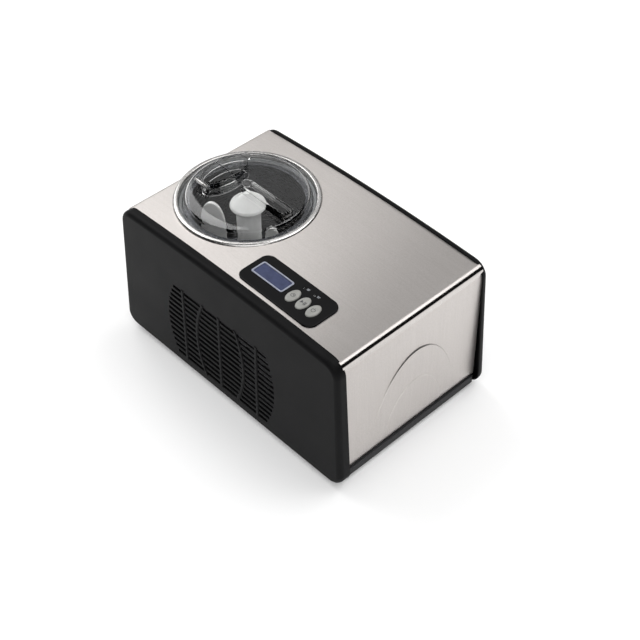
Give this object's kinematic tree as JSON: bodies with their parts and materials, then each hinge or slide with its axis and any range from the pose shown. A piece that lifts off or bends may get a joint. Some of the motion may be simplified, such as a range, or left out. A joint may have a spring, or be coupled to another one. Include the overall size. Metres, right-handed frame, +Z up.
{
  "type": "ice cream maker",
  "caption": "Countertop ice cream maker with a steel body, black grille panels, lift-out bowl under a clear lid, paddle drive, cooling circuit and a control panel.",
  "frame": {"origin": "on the table under the middle of the body", "axes": "+Z up, +X along the body's length from the bowl's end to the plain end, -Y towards the user and the grille panel"},
  "size_m": [0.4318, 0.2744, 0.2444],
  "materials": {
    "black_panel": "satin",
    "steel_sheet": "brushed",
    "polished_trim": "polished",
    "dark_tray": "matte",
    "rubber": "matte",
    "grey_plastic": "satin",
    "foam": "matte",
    "aluminium": "satin",
    "copper": "satin",
    "machined_steel": "machined",
    "clear_plastic": "polished clear",
    "white_plastic": "satin",
    "gear_plastic": "satin",
    "black_enamel": "satin",
    "gloss_black": "gloss",
    "lcd_glass": "gloss",
    "key_grey": "satin",
    "board_green": "satin"
  },
  "bodies": {
    "housing": {"front_side_panel": "black_panel", "rear_side_panel": "black_panel", "power_inlet": "black_panel", "steel_cover": "steel_sheet", "base_tray": "dark_tray", "foot_1": "rubber", "foot_2": "rubber", "foot_3": "rubber", "foot_4": "rubber", "bowl_collar": "polished_trim", "cooling_well": "aluminium", "shaft_bearing": "grey_plastic", "evaporator_coil": "copper", "insulation_jacket": "foam", "lid_gasket": "rubber", "gearbox_base": "grey_plastic", "gearbox_cover": "grey_plastic", "drive_motor": "machined_steel", "compressor": "black_enamel", "compressor_mount_1": "rubber", "compressor_mount_2": "rubber", "compressor_mount_3": "rubber", "condenser": "aluminium", "fan_shroud": "dark_tray", "fan_motor": "black_enamel", "filter_drier": "copper", "discharge_pipe": "copper", "liquid_pipe": "copper", "capillary_tube": "copper", "suction_pipe": "copper", "control_bezel": "gloss_black", "lcd_frame": "key_grey", "lcd_module": "lcd_glass", "status_led_1": "key_grey", "status_led_2": "key_grey", "control_board": "board_green"},
    "drive": {"drive_shaft": "machined_steel", "output_gear": "gear_plastic"},
    "idler": {"idler_gear": "gear_plastic"},
    "rotor": {"motor_pinion": "machined_steel"},
    "fan_rotor": {"fan": "dark_tray"},
    "lid_body": {"lid": "clear_plastic", "flap_pin": "machined_steel"},
    "flap": {"filler_flap": "clear_plastic"},
    "bowl_body": {"removable_bowl": "aluminium"},
    "paddle_body": {"paddle": "white_plastic"},
    "timer_key": {"timer_button": "key_grey"},
    "start_key": {"start_button": "key_grey"},
    "power_key": {"power_button": "key_grey"}
  },
  "joints": [
    {"name": "output_spin", "type": "hinge", "parent": "housing", "child": "drive", "pos_m": [-0.1005, 0, 0.02], "axis": [0, 0, 1], "continuous": true},
    {"name": "idler_spin", "type": "hinge", "parent": "housing", "child": "idler", "pos_m": [-0.0189, 0, 0.02], "axis": [0, 0, 1], "continuous": true},
    {"name": "motor_spin", "type": "hinge", "parent": "housing", "child": "rotor", "pos_m": [0.0267, 0, 0.02], "axis": [0, 0, 1], "continuous": true},
    {"name": "fan_spin", "type": "hinge", "parent": "housing", "child": "fan_rotor", "pos_m": [0.056, -0.1, 0.078], "axis": [0, 1, 0], "continuous": true},
    {"name": "lid_lift", "type": "slide", "parent": "housing", "child": "lid_body", "axis": [0, 0, 1], "range_m": [0, 0.3]},
    {"name": "flap_hinge", "type": "hinge", "parent": "lid_body", "child": "flap", "pos_m": [-0.145, -0.0416, 0.2414], "axis": [1, 0, 0], "range_deg": [0, 110]},
    {"name": "bowl_lift", "type": "slide", "parent": "housing", "child": "bowl_body", "axis": [0, 0, 1], "range_m": [0, 0.15]},
    {"name": "paddle_spin", "type": "hinge", "parent": "bowl_body", "child": "paddle_body", "pos_m": [-0.1005, 0, 0.15], "axis": [0, 0, 1], "continuous": true},
    {"name": "timer_press", "type": "slide", "parent": "housing", "child": "timer_key", "axis": [0, 0, -1], "range_m": [0, 0.0012], "stiffness_N_per_m": 300, "springref_m": -0.002},
    {"name": "start_press", "type": "slide", "parent": "housing", "child": "start_key", "axis": [0, 0, -1], "range_m": [0, 0.0012], "stiffness_N_per_m": 300, "springref_m": -0.002},
    {"name": "power_press", "type": "slide", "parent": "housing", "child": "power_key", "axis": [0, 0, -1], "range_m": [0, 0.0012], "stiffness_N_per_m": 300, "springref_m": -0.002}
  ],
  "couplings": [
    {"joint": "idler_spin", "follows": "output_spin", "ratio": -1.4286},
    {"joint": "motor_spin", "follows": "output_spin", "ratio": 4},
    {"joint": "paddle_spin", "follows": "output_spin", "ratio": 1},
    {"joint": "bowl_lift", "follows": "lid_lift", "ratio": 0.5}
  ]
}
